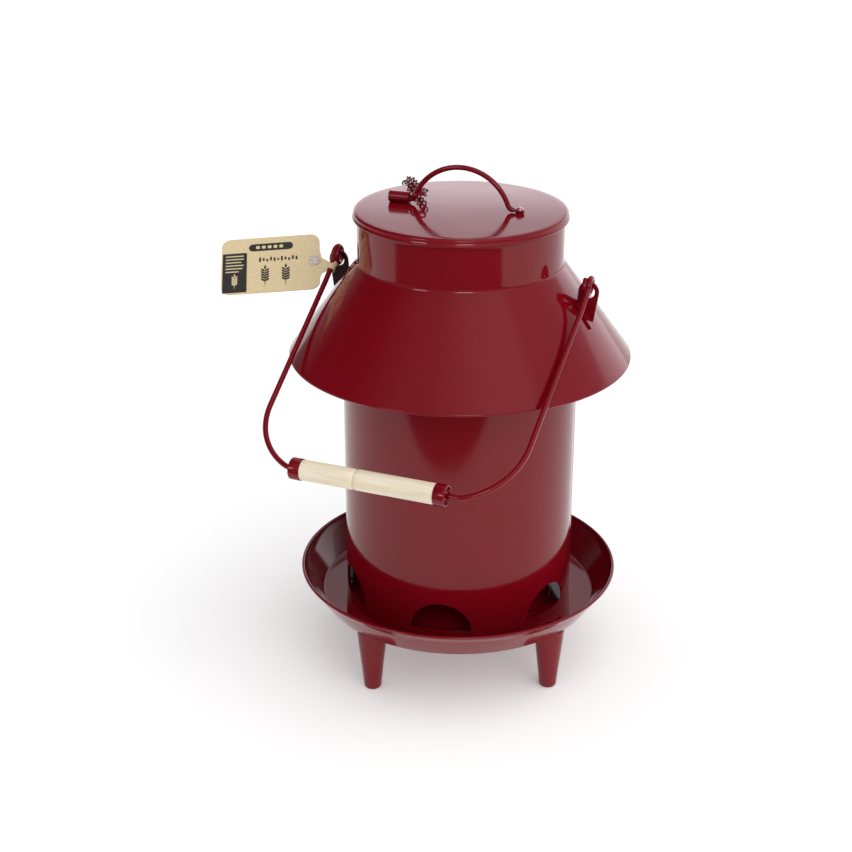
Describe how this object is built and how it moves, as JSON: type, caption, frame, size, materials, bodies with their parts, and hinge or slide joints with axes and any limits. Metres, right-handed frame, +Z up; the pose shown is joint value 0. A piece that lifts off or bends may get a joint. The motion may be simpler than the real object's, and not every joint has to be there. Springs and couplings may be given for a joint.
{
  "type": "gravity poultry feeder",
  "caption": "Painted sheet-metal gravity feeder: a hopper under a conical rain roof feeds a round tray on legs, with a tethered lid and a wire bail with a wooden grip.",
  "frame": {"origin": "on the floor under the hopper's axis, at the centre of the circle that the feet stand on", "axes": "+Z up along the hopper's axis; X through the two ears that the bail turns on; -Y towards the resting bail"},
  "size_m": [0.3398, 0.3192, 0.4261],
  "materials": {
    "burgundy_paint": "gloss",
    "painted_chain": "gloss",
    "zinc": "satin",
    "pale_wood": "raw, sanded",
    "kraft_card": "matte",
    "clear_plastic": "clear gloss"
  },
  "bodies": {
    "feeder": {"tray": "burgundy_paint", "leg_1": "burgundy_paint", "leg_2": "burgundy_paint", "leg_3": "burgundy_paint", "leg_4": "burgundy_paint", "leg_screws": "burgundy_paint", "leg_washers": "burgundy_paint", "feed_cone": "burgundy_paint", "cone_bolt": "zinc", "cone_nut": "zinc", "hopper_tube": "burgundy_paint", "tube_brackets": "burgundy_paint", "bracket_screws": "zinc", "roof_shell": "burgundy_paint", "ear_left": "burgundy_paint", "ear_right": "burgundy_paint", "chain_anchor": "burgundy_paint"},
    "lid": {"lid_cap": "burgundy_paint", "lid_handle": "burgundy_paint", "handle_barrel": "burgundy_paint", "handle_rivet": "burgundy_paint", "handle_washer": "burgundy_paint", "split_ring": "painted_chain", "chain_on_lid": "painted_chain", "chain_hanging": "painted_chain", "chain_end_ring": "painted_chain"},
    "bail": {"bail_wire": "burgundy_paint"},
    "grip": {"grip_wood": "pale_wood", "ferrule_left": "burgundy_paint", "ferrule_right": "burgundy_paint"},
    "tag": {"tag_card": "kraft_card", "tag_rivet": "clear_plastic"}
  },
  "joints": [
    {"name": "lid_lift", "type": "slide", "parent": "feeder", "child": "lid", "axis": [0, 0, 1], "range_m": [0, 0.018]},
    {"name": "bail_swing", "type": "hinge", "parent": "feeder", "child": "bail", "pos_m": [0, 0, 0.3409], "axis": [-1, 0, 0], "range_deg": [0, 245.8]},
    {"name": "grip_spin", "type": "hinge", "parent": "bail", "child": "grip", "pos_m": [-0.00365, -0.17263, 0.22922], "axis": [1, 0, 0], "continuous": true},
    {"name": "tag_swing", "type": "hinge", "parent": "bail", "child": "tag", "pos_m": [-0.10782, -0.01125, 0.33362], "axis": [0, 0.8396, 0.5432], "range_deg": [-15, 15]}
  ]
}
